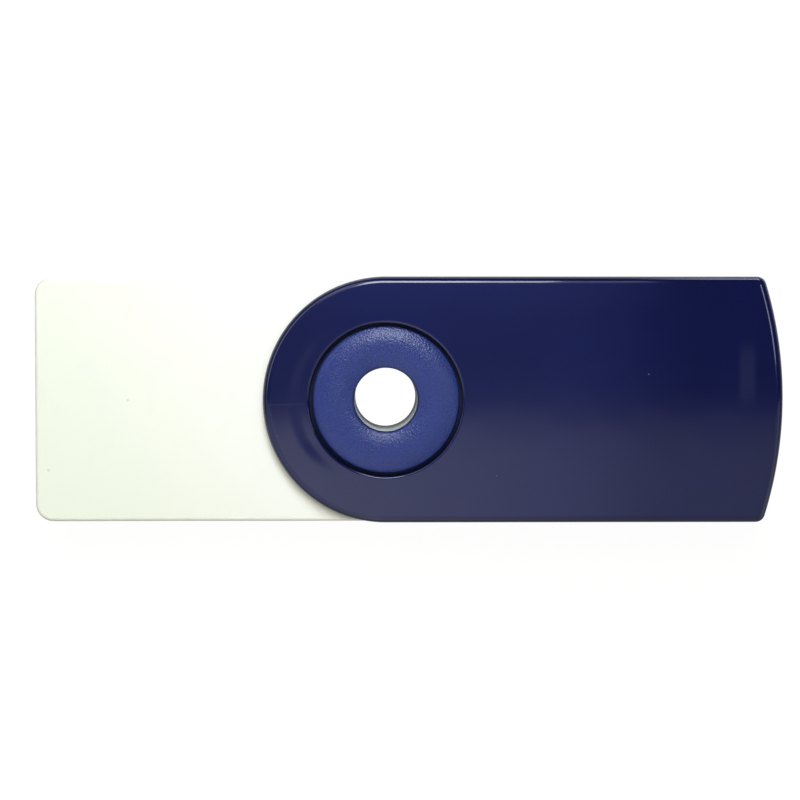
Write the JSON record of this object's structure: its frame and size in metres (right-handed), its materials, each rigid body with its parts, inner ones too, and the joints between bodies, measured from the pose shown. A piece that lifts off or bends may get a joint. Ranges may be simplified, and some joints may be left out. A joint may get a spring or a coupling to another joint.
{
  "type": "swivel sleeve eraser",
  "caption": "Flat pocket eraser that swivels out of a U-shaped plastic sleeve on a hollow round hub, shown swung fully out.",
  "frame": {"origin": "on the swivel axis, at the middle of the hub's bore and of the sleeve's thickness", "axes": "+X towards the sleeve's closed end, +Y across the width, +Z along the swivel axis, out of the front plate"},
  "size_m": [0.0776, 0.0254, 0.014],
  "materials": {
    "sleeve_plastic": "polished moulded plastic, deep navy",
    "eraser_vinyl": "matte white vinyl",
    "bush_plastic": "plain moulded plastic, pale grey",
    "ring_plastic": "spark-eroded moulded plastic, blue"
  },
  "bodies": {
    "sleeve": {"sleeve": "sleeve_plastic"},
    "eraser": {"eraser_block": "eraser_vinyl", "hub_bush": "bush_plastic", "front_hub_ring": "ring_plastic", "back_hub_ring": "ring_plastic"}
  },
  "joints": [
    {"name": "swivel", "type": "hinge", "parent": "sleeve", "child": "eraser", "pos_m": [0, 0, 0], "axis": [0, 0, 1], "continuous": true}
  ]
}
